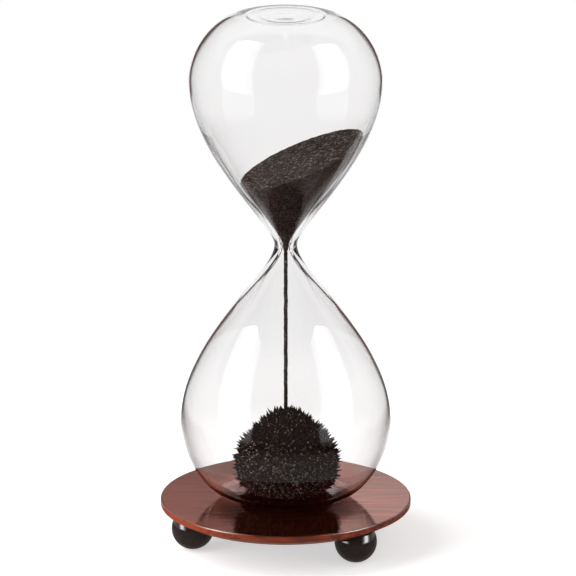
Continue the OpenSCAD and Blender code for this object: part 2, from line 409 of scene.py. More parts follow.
def mix_shaders(tree, factor, first, second):
    """A surface that goes from the first shader to the second as factor goes from 0 to 1."""
    made = put(tree, "MixShader", Fac=factor)
    tree.links.new(first.outputs[0], made.inputs[1])
    tree.links.new(second.outputs[0], made.inputs[2])
    return made


def stage_sheet(name, corners):
    """A flat sheet of the set, with an empty material."""
    mesh = bpy.data.meshes.new(name)
    mesh.from_pydata(corners, [], [(0, 1, 2, 3)])
    sheet = bpy.data.objects.new(name, mesh)
    scene.collection.objects.link(sheet)
    made, tree = new_finish(name)
    mesh.materials.append(made)
    return sheet, tree


floor, tree = stage_sheet(
    "floor", [(x * FLOOR_REACH, y * FLOOR_REACH, 0) for x, y in ((-1, -1), (1, -1), (1, 1), (-1, 1))])
print(floor.name, "reaches", FLOOR_REACH, "m each way")

# %% The floor that mirrored rays see
GLASS_REACH = 0.03
FLOOR_BEHIND = 0.0, 0.05
NEARBY, NEARBY_CARD_STARTS = (0.2, 0.4), (0.05, 0.2)
DISTANT, DISTANT_CARD_SHIFT = (0.75, 1.1), 0.09
CARD_FEET = 0.36, 0.44
SHEET_TURN, SIDE_SHEET, FAR_SHEET = (0.35, 0.9), 0.05, 0.6
SHEET_ASIDE, SHEET_GAINS = (0.055, 0.11), (1.8, 0.25)
UNDER_REACH, UNDER_BACK, UNDER_SHADE = (0.06, 0.13), (0.0, 0.03), 0.2
SHEET_REACH, BOX_REACH = (0.15, 0.3), (0.15, 0.35)

spot = put(tree, "NewGeometry").outputs["Position"]
place = put(tree, "SeparateXYZ", Vector=spot).outputs
reach = put(tree, "VectorMath", {"operation": "LENGTH"}, Vector=spot).outputs["Value"]
way = put(tree, "VectorMath", {"operation": "NORMALIZE"}, Vector=spot).outputs["Vector"]
aside = maths(tree, "ABSOLUTE", place["X"])
back = maths(tree, "MAXIMUM", place["Y"], LEAST_DEPTH)
card_start = spread(tree, back, *NEARBY, *NEARBY_CARD_STARTS)
room = add_cards(
    tree,
    room_light(tree, way),
    turn=maths(tree, "DIVIDE", maths(tree, "SUBTRACT", aside, GLASS_REACH), back),
    card_start=maths(tree, "SUBTRACT", card_start, spread(tree, back, *DISTANT, 0.0, DISTANT_CARD_SHIFT)),
    behind=spread(tree, place["Y"], *FLOOR_BEHIND),
    cards_reach=spread(tree, back, *CARD_FEET),
)
backward = put(tree, "SeparateXYZ", Vector=way).outputs["Y"]
sheet = spread(tree, backward, *SHEET_TURN, SIDE_SHEET, FAR_SHEET)
sheet = product(tree, sheet, spread(tree, aside, *SHEET_ASIDE, *SHEET_GAINS))
under = product(tree, fade_out(tree, reach, *UNDER_REACH), fade_out(tree, place["Y"], *UNDER_BACK))
sheet = mix_number(tree, under, sheet, UNDER_SHADE)
room = mix_number(tree, fade_out(tree, reach, *SHEET_REACH), room, sheet)
story = ray_story(tree)
light = studio_light(tree, way, story, room, spread(tree, reach, *BOX_REACH, 0.0, BOX_BELOW))
print("floor nodes for mirrored rays:", len(tree.nodes))

# %% The white paper
PAPER = (0.92, 0.92, 0.92, 1)
BOUNCE = 0.15
SHADOW = 0.08, 0.25
GLOW_NEAR, GLOW_SHARE, GLASS_SHARE = 2.7, 0.2, 0.35
THROUGH_NEAR, THROUGH_NEAR_GLOW = (0.08, 0.14), 0.6
THROUGH_FAR, THROUGH_FAR_GLOW = (0.1, 0.25), 1.22

near = spread(tree, reach, *SHADOW, GLOW_NEAR, 1.0)
through = maths(
    tree, "ADD",
    spread(tree, reach, *THROUGH_NEAR, THROUGH_NEAR_GLOW, 0.0),
    spread(tree, reach, *THROUGH_FAR, THROUGH_FAR_GLOW, 1.0))
near = mix_number(tree, story["entered"], near, through)
near = mix_number(tree, story["mirrored"], near, 1.0)
light = mix_number(tree, story["dull"], product(tree, near, light), BOUNCE)
share = mix_number(tree, story["entered"], GLOW_SHARE, GLASS_SHARE)
share = spread(tree, reach, *SHADOW, share, 1.0)
share = mix_number(tree, story["mirrored"], share, 1.0)
dull_paper = put(tree, "BsdfDiffuse", Color=PAPER)
lit_paper = put(tree, "Emission", Color=warm_shade(tree, light), Strength=light)
put(tree, "OutputMaterial", Surface=mix_shaders(tree, share, dull_paper, lit_paper).outputs[0])
print("floor nodes in all:", len(tree.nodes))

# %% [markdown]
# ### The card behind
#
# At this low angle the lacquered disc is a mirror. It shows whatever stands behind the
# object, so a card there sets its sheen: brighter on the right than on the left, and dark at
# its foot. Only mirrored rays see the card. All others pass through it, as they do through
# the smaller cards that follow.

# %% The card behind
SHEEN_Y, SHEEN_HALF, SHEEN_H = 0.3, 0.06, 0.35
SHEEN_LEFT, SHEEN_RIGHT, SHEEN_FOOT = 0.4, 1.0, 0.2
SHEEN_MIDDLE, SHEEN_RISE, SHEEN_TOP = (-0.015, 0.015), (0.095, 0.106), (0.126, 0.14)


def hidden_card(name, corners):
    """A card that the camera, shadows and dull surfaces miss. Gives its tree and the place that is hit."""
    card, tree = stage_sheet(name, corners)
    card.visible_camera = False
    card.visible_diffuse = False
    card.visible_shadow = False
    return tree, put(tree, "SeparateXYZ", Vector=put(tree, "NewGeometry").outputs["Position"]).outputs


def facing_front(y, half, low, top):
    """Corners of an upright card that faces the camera."""
    return [(-half, y, low), (half, y, low), (half, y, top), (-half, y, top)]


def show_card(tree, shows, glow):
    """Ends a card's finish: it glows where it shows, and is open elsewhere."""
    card_face = mix_shaders(tree, shows, put(tree, "BsdfTransparent"), glow)
    put(tree, "OutputMaterial", Surface=card_face.outputs[0])


tree, place = hidden_card("sheen_card", facing_front(SHEEN_Y, SHEEN_HALF, 0, SHEEN_H))
light = product(
    tree,
    spread(tree, place["X"], *SHEEN_MIDDLE, SHEEN_LEFT, SHEEN_RIGHT),
    spread(tree, place["Z"], *SHEEN_RISE, SHEEN_FOOT, 1.0))
light = mix_number(tree, spread(tree, place["Z"], *SHEEN_TOP), light, 1.0)
story = ray_story(tree)
shows = maths(tree, "SUBTRACT", story["mirrored"], story["in_wall"])
show_card(tree, shows, put(tree, "Emission", Strength=light))
print("card stands", SHEEN_Y, "m behind")

# %% [markdown]
# ### The low card
#
# The wide belly of the lower bulb turns its view down to the floor close by, so a low black
# card stands right behind the stand on each side. It too shows only to mirrored rays.

# %% The low card
LOW_CARD_Y, LOW_CARD_HALF, LOW_CARD_H = 0.05, 0.07, 0.06
LOW_INNER, LOW_OUTER = (0.04, 0.043), (0.05, 0.061)
LOW_FOOT, LOW_TOP = (0.012, 0.03), (0.05, 0.058)

tree, place = hidden_card("low_card", facing_front(LOW_CARD_Y, LOW_CARD_HALF, 0, LOW_CARD_H))
aside = maths(tree, "ABSOLUTE", place["X"])
black = product(
    tree,
    spread(tree, aside, *LOW_INNER),
    fade_out(tree, aside, *LOW_OUTER),
    spread(tree, place["Z"], *LOW_FOOT),
    fade_out(tree, place["Z"], *LOW_TOP),
    ray_story(tree)["mirrored"],
)
show_card(tree, black, put(tree, "Emission", Strength=BLACK_CARD))
print("low card stands", LOW_CARD_Y, "m behind")

# %% [markdown]
# ### The neck card
#
# Below the waist the thick wall draws a dark line just inside its pale edge. That line is the
# picture of a dark stripe on a white card close behind the neck. The stripe stands upright
# and leans outward at its top. Rays that the neck only bends meet a black patch on the card,
# far out to the side, which draws the neck's own dark sides.

# %% The neck card
NECK_CARD_Y, NECK_CARD_HALF, NECK_CARD_LOW, NECK_CARD_TOP = 0.02, 0.06, 0.074, 0.109
NECK_WHITE, NECK_BLACK = 0.9, 0.02
STRIPE_IN, STRIPE_OUT, STRIPE_BLUR = 0.0178, 0.0219, (-0.001, 0.001)
IN_LEAN_Z, IN_LEAN = 0.0905, 2.0
OUT_LEAN_Z, OUT_LEAN, OUT_FLARE_Z, OUT_FLARE = 0.085, 0.6, 0.0915, 1.6
SKIN_SHIFT, SKIN_TOP = 0.0055, (0.089, 0.093)
PATCH_LOW, PATCH_TOP, PATCH_ASIDE = (0.082, 0.085), (0.0895, 0.0915), (0.0095, 0.0135)


def leaning(tree, height, edge, start, slope):
    """An edge that leans outward by a slope above a height."""
    above = maths(tree, "MAXIMUM", maths(tree, "SUBTRACT", height, start), 0.0)
    return maths(tree, "ADD", maths(tree, "MULTIPLY", above, slope), edge)


tree, place = hidden_card(
    "neck_card", facing_front(NECK_CARD_Y, NECK_CARD_HALF, NECK_CARD_LOW, NECK_CARD_TOP))
story = ray_story(tree)
skin_shift = maths(tree, "MULTIPLY", story["on_skin"], SKIN_SHIFT)
aside = maths(tree, "SUBTRACT", maths(tree, "ABSOLUTE", place["X"]), skin_shift)
inner_edge = leaning(tree, place["Z"], STRIPE_IN, IN_LEAN_Z, IN_LEAN)
outer_edge = leaning(tree, place["Z"], STRIPE_OUT, OUT_LEAN_Z, OUT_LEAN)
outer_edge = leaning(tree, place["Z"], outer_edge, OUT_FLARE_Z, OUT_FLARE)
stripe = product(
    tree,
    spread(tree, maths(tree, "SUBTRACT", aside, inner_edge), *STRIPE_BLUR),
    fade_out(tree, maths(tree, "SUBTRACT", aside, outer_edge), *STRIPE_BLUR),
    mix_number(tree, story["on_skin"], 1.0, fade_out(tree, place["Z"], *SKIN_TOP)),
)
patch = product(
    tree,
    spread(tree, place["Z"], *PATCH_LOW),
    fade_out(tree, place["Z"], *PATCH_TOP),
    spread(tree, aside, *PATCH_ASIDE),
    product(tree, story["entered"], flip(tree, story["mirrored"])),
)
light = mix_number(tree, patch, mix_number(tree, stripe, NECK_WHITE, NECK_BLACK), NECK_BLACK)
shows = maths(tree, "ADD", patch, maths(tree, "ADD", story["on_skin"], story["in_wall"]))
show_card(tree, shows, put(tree, "Emission", Color=warm_shade(tree, light), Strength=light))
print("neck card stands", NECK_CARD_Y, "m behind")

# %% [markdown]
# ### The flags
#
# A photographer's flag is a black sheet that hides a lamp from a part of the object. One on
# each side ends the bright windows of the lower bulb below its neck, along a slanting line,
# and keeps the funnel of the upper bulb from shining. Only the skin of the glass sees them.

# %% The flags
FLAG_X, FLAG_FRONT, FLAG_BACK, FLAG_LOW, FLAG_TOP = 0.03, -0.06, 0.01, 0.06, 0.12
FLAG_EDGE_Z, FLAG_TURN_Y, FLAG_RISE, FLAG_FALL = 0.0925, -0.02, 0.35, 1.0
FLAG_BLUR = -0.0005, 0.0005
FLAG_SHADE, FLAG_TINT = 0.12, (1, 0.656, 0.604, 1)

for name, x in (("left_flag", -FLAG_X), ("right_flag", FLAG_X)):
    flag_corners = [
        (x, FLAG_FRONT, FLAG_LOW),
        (x, FLAG_BACK, FLAG_LOW),
        (x, FLAG_BACK, FLAG_TOP),
        (x, FLAG_FRONT, FLAG_TOP),
    ]
    tree, place = hidden_card(name, flag_corners)
    ahead = maths(tree, "MAXIMUM", maths(tree, "SUBTRACT", FLAG_TURN_Y, place["Y"]), 0.0)
    after = maths(tree, "MAXIMUM", maths(tree, "SUBTRACT", place["Y"], FLAG_TURN_Y), 0.0)
    edge = maths(tree, "ADD", maths(tree, "MULTIPLY", ahead, FLAG_RISE), FLAG_EDGE_Z)
    edge = maths(tree, "SUBTRACT", edge, maths(tree, "MULTIPLY", after, FLAG_FALL))
    above = spread(tree, maths(tree, "SUBTRACT", place["Z"], edge), *FLAG_BLUR)
    shows = product(tree, above, ray_story(tree)["on_skin"])
    show_card(tree, shows, put(tree, "Emission", Color=FLAG_TINT, Strength=FLAG_SHADE))
print("flags stand", FLAG_X, "m aside")

# %% [markdown]
# ## Small tools for building meshes
#
# All new pieces are written in millimetres, as a maker would measure them, and scaled to
# metres as the mesh is made. All are built on stacks of rings, closed by a point at both
# ends. The glass is turned: a profile spun round the axis. Its curves are cubic and stand
# upright at the bellies and the waist, so neighbouring curves join there without a crease.

# %% Mesh helpers
def new_piece(name, points, faces, body, node):
    """Makes a smooth mesh piece from points in millimetres, in place of a CAD node."""
    mesh = bpy.data.meshes.new(name)
    mesh.from_pydata([Vector(p) * MM for p in points], [], faces)
    mesh.shade_smooth()
    piece = bpy.data.objects.new(name, mesh)
    scene.collection.objects.link(piece)
    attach(piece, body)
    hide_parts(node)
    print(name, len(points), "points,", len(faces), "faces")
    return piece


def curve(start, start_run, end_run, end, steps):
    """Points of a cubic curve without its last one. The runs are offsets from its two ends."""
    a, d = Vector(start), Vector(end)
    b, c = a + Vector(start_run), d + Vector(end_run)
    points = []
    for i in range(steps):
        t = i / steps
        u = 1 - t
        points.append(u ** 3 * a + 3 * u ** 2 * t * b + 3 * u * t ** 2 * c + t ** 3 * d)
    return points


def around(sides):
    """The bearings of the points of one ring, and the directions that they face."""
    for k in range(sides):
        angle = math.tau * k / sides
        yield angle, Vector((math.cos(angle), math.sin(angle), 0))


def skin(ring_count, sides, start=0, downward=False):
    """Faces of a stack of rings, closed by a point at each end. The stack runs up, or downward."""
    last = start + 1 + ring_count * sides
    faces = []
    for k in range(sides):
        here, after = start + 1 + k, start + 1 + (k + 1) % sides
        faces.append((start, after, here))
        for _ in range(ring_count - 1):
            faces.append((here, after, after + sides, here + sides))
            here, after = here + sides, after + sides
        faces.append((here, after, last))
    if downward:
        return [(face[0], *reversed(face[1:])) for face in faces]
    return faces


def spun(profile, sides, start=0):
    """Spins a profile of radius and height that begins and ends on the axis."""
    points = [(0, 0, profile[0][1])]
    for radius, height in profile[1:-1]:
        for angle, _ in around(sides):
            points.append((radius * math.cos(angle), radius * math.sin(angle), height))
    points.append((0, 0, profile[-1][1]))
    return points, skin(len(profile) - 2, sides, start)


print("mesh helpers ready")

# %% [markdown]
# ## The blown glass
#
# The vessel is two bulbs blown from one tube, sealed at the crown and pressed flat at the
# foot. It needs a true inside wall as well as the outside one, because the gap between them
# bends the light at the edges. The foot and the crown each have a ring with a shallow dish
# inside, and the crown's dish holds the small round mark where the tube was sealed off.

# %% Draw the glass
FOOT_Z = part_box("glass_vessel")[0].z / MM
GLASS_H = (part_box("glass_vessel")[1].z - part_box("glass_vessel")[0].z) / MM
WAIST_H, LOWER_BELLY_H, UPPER_BELLY_H = 77.7, 23.5, GLASS_H - 19.5
LOWER_R, UPPER_R, WAIST_R, BORE_R = 31.0, 28.1, 3.3, 1.1
FOOT_RING_R, FOOT_LAND = 10.5, 0.8
CROWN_RING_R, CROWN_RING_H, CROWN_STEP = 11.5, 0.12, 0.4
WALL, FOOT_WALL, CROWN_WALL = 0.6, 2.0, 0.8
FLOOR_DIP = 3.0
# Runs of the curves, and where two of them meet, the run below and the one above
FOOT_RUN, CROWN_RUN = 17.9, 9.1
LOWER_BELLY_RUNS, NECK_RUNS, UPPER_BELLY_RUNS = (3, 25), (9.6, 5.8), (21.8, 8.6)
CURVE_STEPS = 48


def glass_side(inset, foot_inset, crown_inset, dip, neck_r):
    """The side of the vessel, from foot ring to crown ring, in from the outside by its insets."""
    foot = (FOOT_RING_R - inset, FOOT_Z + foot_inset)
    low = (LOWER_R - inset, FOOT_Z + LOWER_BELLY_H)
    neck = (neck_r, FOOT_Z + WAIST_H)
    high = (UPPER_R - inset, FOOT_Z + UPPER_BELLY_H)
    crown = (CROWN_RING_R - inset, FOOT_Z + GLASS_H - crown_inset)
    return [
        *curve(foot, (FOOT_RUN, -dip), (0, -LOWER_BELLY_RUNS[0]), low, CURVE_STEPS),
        *curve(low, (0, LOWER_BELLY_RUNS[1]), (0, -NECK_RUNS[0]), neck, CURVE_STEPS),
        *curve(neck, (0, NECK_RUNS[1]), (0, -UPPER_BELLY_RUNS[0]), high, CURVE_STEPS),
        *curve(high, (0, UPPER_BELLY_RUNS[1]), (CROWN_RUN, 0), crown, CURVE_STEPS),
        Vector(crown),
    ]


inner_side = glass_side(WALL, FOOT_WALL, CROWN_WALL, FLOOR_DIP, BORE_R)
print("glass stands at", round(FOOT_Z, 2), "mm and is", round(GLASS_H, 2), "mm high")

# %% Turn the vessel
DISH_H, DISH_FLAT_R, DISH_STEPS = 0.6, 5.0, 30
SEAL_R, SEAL_H = 4.5, 0.1
GLASS_SIDES = 192


def dish(radius, rim_z, rise):
    """A shallow dish with a flat middle, from its centre to its rim."""
    points = []
    for i in range(DISH_STEPS + 1):
        out = radius * i / DISH_STEPS
        slope = max(0, (out - DISH_FLAT_R) / (radius - DISH_FLAT_R))
        points.append(Vector((out, rim_z + rise * (1 + math.cos(math.pi * slope)) / 2)))
    return points


def seal_height(radius):
    """Height of the sealing mark above the dish."""
    return SEAL_H * (1 + math.cos(math.pi * radius / SEAL_R)) / 2 if radius < SEAL_R else 0


crown_z = FOOT_Z + GLASS_H
foot_dish = dish(FOOT_RING_R - FOOT_LAND, FOOT_Z, DISH_H)
crown_dish = dish(CROWN_RING_R - CROWN_STEP, crown_z, -DISH_H)
crown_dish = [Vector((p.x, p.y + seal_height(p.x))) for p in crown_dish]
inner_dish = dish(CROWN_RING_R - CROWN_STEP - WALL, crown_z - CROWN_WALL, -DISH_H)
outside = [*foot_dish, *glass_side(0, 0, CROWN_RING_H, 0, WAIST_R), *reversed(crown_dish)]
inside = [Vector((0, FOOT_Z + FOOT_WALL)), *inner_side, *reversed(inner_dish)]
outer_points, outer_faces = spun(outside, GLASS_SIDES)
inner_points, inner_faces = spun(inside, GLASS_SIDES, start=len(outer_points))
vessel = new_piece(
    "blown_glass",
    outer_points + inner_points,
    outer_faces + [tuple(reversed(face)) for face in inner_faces],
    body="hourglass",
    node="glass_vessel",
)

# %% [markdown]
# ### The finish of the glass
#
# Blown glass is never quite even, so a slow pattern of waves bends its surface a little and
# drifts its tint. Light from the lamps would have to find its way through two walls, which a
# renderer does slowly. So the glass is simply open to shadow rays.

# %% The finish of the glass
GLASS_INDEX = 1.5
DARK_TINT, CLEAR_TINT = (0.986, 0.982, 0.982), (1, 0.998, 0.998)

glass, tree = new_finish("clear_blown_glass")
spot = put(tree, "TexCoord").outputs["Object"]
waves = put(tree, "TexNoise", Vector=spot, Scale=45.0, Detail=1.0)
tint = ramp(tree, waves.outputs["Fac"], (0.3, DARK_TINT), (0.7, CLEAR_TINT))
swell = put(tree, "Bump", Height=waves.outputs["Fac"], Strength=0.05, Distance=0.001)
clear = put(
    tree, "BsdfPrincipled", Base_Color=tint, Roughness=0.0, IOR=GLASS_INDEX,
    Transmission_Weight=1.0, Normal=swell.outputs[0])
open_to_lamps = put(tree, "BsdfTransparent", Color=(0.98, 0.98, 0.98, 1))
shadow_ray = tree.nodes.new("ShaderNodeLightPath").outputs["Is Shadow Ray"]
put(tree, "OutputMaterial", Surface=mix_shaders(tree, shadow_ray, clear, open_to_lamps).outputs[0])
vessel.data.materials.append(glass)
print("glass nodes:", len(tree.nodes))

# %% [markdown]
# ## Iron filings: the finish
#
# Filings are tiny dark chips of iron, dull grey-brown. A cell pattern about as fine as the
# chips gives each its own luck, which sets its tone and how rough it is. Only the luckiest
# cells are pale specks: painted glints, for chips that turn a bright face to the light. Where
# the filings lean on the glass, their tone is painted lighter, as painted light on a shaded
# side, and they get fewer painted glints. High on the mound, where the chips stand on end,
# their tone is painted darker, as painted shade, with fewer painted glints.

# %% The finish of the filings
# Luck above PAINTED_GLINT_LUCK gives pale specks, which are painted glints.
PALE_LUCK, PAINTED_GLINT_LUCK = 0.82, 0.92
DULL_ROUGH, BRIGHT_ROUGH = 0.8, 0.5
# LEANING_PAINTED_LIGHT paints the filings that lean on the glass lighter, as painted light.
LEVEL_BED, LEANING_LUCK, LEANING_PAINTED_LIGHT = (0.2, 0.7), 0.8, 2.7
# Above MOUND_TOP_Z the filings are painted darker by TOP_PAINTED_SHADE_POWER: painted shade.
MOUND_TOP_Z, TOP_PAINTED_SHADE_POWER = (0.029, 0.034), 3.0


def filings_finish(name, chip, dark, pale, painted_glint, vary):
    """Chips about chip millimetres wide; pale specks are painted glints. The vary function says where
    painted light and shade change their tone, and where painted glints are fewer.
    """
    made, tree = new_finish(name)
    spot = put(tree, "TexCoord").outputs["Object"]
    cells = put(tree, "TexVoronoi", Vector=spot, Scale=1 / (chip * MM))
    luck = put(tree, "SeparateColor", Color=cells.outputs["Color"]).outputs["Red"]
    luck, painted_light_gain = vary(tree, luck, spot)
    # The last ramp stop is the pale speck, a painted glint.
    tone = scaled(tree, ramp(tree, luck, (0.0, dark), (PALE_LUCK, pale), (PAINTED_GLINT_LUCK, painted_glint)), painted_light_gain)
    rough = spread(tree, luck, 0.0, 1.0, DULL_ROUGH, BRIGHT_ROUGH)
    dents = put(tree, "Bump", Height=cells.outputs["Distance"], Strength=0.6, Distance=chip * MM)
    iron = put(
        tree, "BsdfPrincipled", Base_Color=tone, Roughness=rough, Specular_IOR_Level=0.1,
        Normal=dents.outputs[0])
    put(tree, "OutputMaterial", Surface=iron.outputs[0])
    return made


def painted_light_by_slope(tree, luck, spot):
    """Loose filings get more painted glints on their bed. Where they lean on the glass they get fewer, and
    their tone is painted lighter: painted light on a shaded side.
    """
    upward = put(tree, "SeparateXYZ", Vector=put(tree, "NewGeometry").outputs["Normal"]).outputs["Z"]
    luck = product(tree, luck, spread(tree, upward, *LEVEL_BED, LEANING_LUCK, 1.0))
    # Leaning faces are painted lighter, as painted light on their shaded side.
    return luck, spread(tree, upward, *LEVEL_BED, LEANING_PAINTED_LIGHT, 1.0)


def painted_shade_by_height(tree, luck, spot):
    """High on the mound, and in the thread, the chips stand on end; their tone is painted darker, with
    fewer painted glints, as painted shade.
    """
    height = put(tree, "SeparateXYZ", Vector=spot).outputs["Z"]
    # Raising the luck to a power paints the chips darker, as painted shade.
    return maths(tree, "POWER", luck, spread(tree, height, *MOUND_TOP_Z, 1.0, TOP_PAINTED_SHADE_POWER)), 1.0


# Each finish's painted_glint colour is a painted glint on its chips.
loose_iron = filings_finish(
    "loose_filings", chip=0.5, dark=(0.008, 0.0062, 0.0055), pale=(0.042, 0.033, 0.03),
    painted_glint=(0.2, 0.16, 0.14), vary=painted_light_by_slope)
spiked_iron = filings_finish(
    "spiked_filings", chip=0.45, dark=(0.005, 0.0033, 0.0028), pale=(0.042, 0.031, 0.027),
    painted_glint=(0.36, 0.29, 0.26), vary=painted_shade_by_height)
print("finishes:", loose_iron.name, spiked_iron.name)

# %% [markdown]
# ## The filings that have still to run
#
# They fill the funnel of the upper bulb up to a slanting surface, higher on the right. The
# side that leans on the glass is smooth, and the top is a bed of loose grains. The body is
# a stack of rings: up the wall first, then across the top to its middle.

# %% Where the filings meet the glass
GRAIN_GAP = 0.2
STREAM_R = 0.55
WAIST_Z = FOOT_Z + WAIST_H
TIP_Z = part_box("upper_filings")[0].z / MM
HEAP_Z = WAIST_Z + 23.6
HEAP_SLOPE = math.tan(math.radians(22))
HALVINGS = 30

funnel = [
    Vector((p.x - GRAIN_GAP, p.y))
    for p in inner_side
    if WAIST_Z <= p.y <= FOOT_Z + UPPER_BELLY_H
]


def funnel_radius(height):
    """Radius of the filings where they lean on the glass at a height."""
    if height <= WAIST_Z:
        drop = (height - TIP_Z) / (WAIST_Z - TIP_Z)
        return STREAM_R + (funnel[0].x - STREAM_R) * drop
    for low, high in zip(funnel, funnel[1:]):
        if height <= high.y:
            return low.x + (high.x - low.x) * (height - low.y) / (high.y - low.y)
    return funnel[-1].x


def heap_rim(angle):
    """Height at which the slanting surface meets the glass, found by halving."""
    low, high = WAIST_Z, funnel[-1].y
    for _ in range(HALVINGS):
        middle = (low + high) / 2
        surface_z = HEAP_Z + HEAP_SLOPE * funnel_radius(middle) * math.cos(angle)
        low, high = (middle, high) if middle < surface_z else (low, middle)
    return low


print("rim of the filings, mm:", round(heap_rim(math.pi), 1), "to", round(heap_rim(0), 1))

# %% Fill the funnel
HEAP_SIDES, HEAP_ROWS, TOP_ROWS = 300, 90, 70
RIM_WOBBLE, RIM_WOBBLE_RUN, RIM_GIRTH = 0.2, 0.9, 20
DENT, DENT_RUN, DENT_FROM_H = 0.05, 0.5, 10
BED_GRAIN, BED_GRAIN_RUN = 0.2, 0.6
BED_SWELL, BED_SWELL_RUN = 0.35, 4


def grain(point, size):
    """A bumpy height, from -1 to 1, that changes over about size millimetres."""
    return noise.noise(Vector(point) / size)


points = [(0, 0, TIP_Z)]
for row in range(1, HEAP_ROWS + TOP_ROWS):
    for angle, way in around(HEAP_SIDES):
        rim = heap_rim(angle) + RIM_WOBBLE * grain(way * RIM_GIRTH, RIM_WOBBLE_RUN)
        if row <= HEAP_ROWS:
            height = TIP_Z + (rim - TIP_Z) * row / HEAP_ROWS
            at = way * funnel_radius(height) + Vector((0, 0, height))
            at -= way * DENT * (1 + grain(at, DENT_RUN)) * min(1, (height - TIP_Z) / DENT_FROM_H)
        else:
            share = 1 - (row - HEAP_ROWS) / TOP_ROWS
            across = way * funnel_radius(rim) * share
            at = across + Vector((0, 0, HEAP_Z + HEAP_SLOPE * across.x))
            bed_swell = BED_SWELL * grain(at, BED_SWELL_RUN) * (1 - share ** 4)
            at.z += BED_GRAIN * grain(at, BED_GRAIN_RUN) + bed_swell
        points.append(at)
points.append((0, 0, HEAP_Z))
faces = skin(HEAP_ROWS + TOP_ROWS - 1, HEAP_SIDES)
heap = new_piece("filings_to_run", points, faces, "hourglass", "upper_filings")
heap.data.materials.append(loose_iron)

# %% [markdown]
# ## The falling thread
#
# Filings run through the bore in a thread about a millimetre wide. It isn't a rod: grains
# bunch and thin out on the way down. A tube with many rings, each a little off centre and a
# little thicker or thinner, gives that ragged edge. It has the same finish as the mound, so
# at this height its chips are painted darker, as painted shade, with fewer painted glints.

# %% Let the thread fall
LANDING_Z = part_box("falling_stream")[0].z / MM
THREAD_SIDES, THREAD_PITCH = 14, 0.3
CALM_ENDS = 0.3
SWAY, SWAY_RUN = 0.12, 3
RAG, RAG_RUN = 0.35, 0.5

ring_gaps = round((TIP_Z - LANDING_Z) / THREAD_PITCH)
points = [(0, 0, TIP_Z)]
for ring in range(ring_gaps + 1):
    height = TIP_Z - (TIP_Z - LANDING_Z) * ring / ring_gaps
    calm = math.sin(math.pi * ring / ring_gaps) ** CALM_ENDS
    sway_x = SWAY * calm * grain((0, 3, height), SWAY_RUN)
    sway_y = SWAY * calm * grain((9, 0, height), SWAY_RUN)
    for _, way in around(THREAD_SIDES):
        radius = STREAM_R * (1.0 + calm * RAG * grain((way.x, way.y, height), RAG_RUN))
        points.append(Vector((sway_x, sway_y, height)) + way * radius)
points.append((0, 0, LANDING_Z))
faces = skin(ring_gaps + 1, THREAD_SIDES, downward=True)
thread = new_piece("falling_thread", points, faces, "hourglass", "falling_stream")
thread.data.materials.append(spiked_iron)

# %% [markdown]
# ## The spiky mound
#
# Over the magnet the filings stand up along the field: up at the top, level at the sides,
# a little down at the skirt. Each spike is a bundle of chips that tapers to a point. A dark
# core carries the form, and thousands of spikes grow out of it along rays from one pole.

# %% Shape the core
GLASS_FLOOR_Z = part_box("lower_mound")[0].z / MM
MOUND_H = LANDING_Z - GLASS_FLOOR_Z
BELLY_R, BELLY_H, SKIRT_R, LANDING_R = 14.3, 9.5, 9.3, 0.9
SKIRT_RUN, BELLY_LOW_RUN, BELLY_HIGH_RUN, DOME_RUN = (3.7, 0.6), (0, -5.5), (0, 6.1), (4.5, -2)
SKIRT_STEPS, DOME_STEPS, CORE_SIDES = 20, 40, 160
STEP_H, STEP_BAND, STEP_TURN, STEP_DEPTH = 18.5, 1.8, 0.7, 0.13
LEAN = 0.025

core_profile = [
    *curve((SKIRT_R, 0), SKIRT_RUN, BELLY_LOW_RUN, (BELLY_R, BELLY_H), SKIRT_STEPS),
    *curve((BELLY_R, BELLY_H), BELLY_HIGH_RUN, DOME_RUN, (LANDING_R, MOUND_H), DOME_STEPS),
    Vector((LANDING_R, MOUND_H)),
]


def core_swell(angle, height):
    """How much wider or narrower the core is here: a step on the left, a lean to the right."""
    from_left = math.remainder(angle - math.pi, math.tau)
    step = math.exp(-((height - STEP_H) / STEP_BAND) ** 2 - (from_left / STEP_TURN) ** 2)
    return 1 + LEAN * math.cos(angle) - STEP_DEPTH * step


def core_point(spot, angle):
    """The point on the core at a profile point and a bearing."""
    radius = spot.x * core_swell(angle, spot.y)
    return Vector((radius * math.cos(angle), radius * math.sin(angle), spot.y + GLASS_FLOOR_Z))


points = [Vector((0, 0, GLASS_FLOOR_Z))]
for spot in core_profile:
    points.extend(core_point(spot, angle) for angle, _ in around(CORE_SIDES))
points.append(Vector((0, 0, GLASS_FLOOR_Z + MOUND_H)))
faces = skin(len(core_profile), CORE_SIDES)
print("core faces:", len(faces))

# %% One spike
POLE_H = 6.0
# Two rings of a spike: how far along it they are, and their share of its width
SPIKE_RINGS = (-0.4, 1.15), (0.3, 0.6)
SPIKE_BEND = 0.15
GIRTHS = 0.75, 1.25


def add_spike(base, way, length, width, sides):
    """A tapering, slightly bent spike with its root sunk in the core."""
    side = Matrix.Rotation(random.uniform(0, math.tau), 3, way) @ way.orthogonal().normalized()
    other = way.cross(side)
    bend = (side * random.uniform(-1, 1) + other * random.uniform(-1, 1)) * SPIKE_BEND * length
    first = len(points)
    for share, girth in SPIKE_RINGS:
        for k in range(sides):
            angle = math.tau * k / sides
            out = side * math.cos(angle) + other * math.sin(angle)
            out *= width * girth * random.uniform(*GIRTHS)
            points.append(base + way * length * share + bend * max(0, share) ** 2 + out)
    points.append(base + way * length + bend)
    for k in range(sides):
        after = (k + 1) % sides
        low, high = first + k, first + sides + k
        faces.append((low, first + after, first + sides + after, high))
        faces.append((high, first + sides + after, first + 2 * sides))


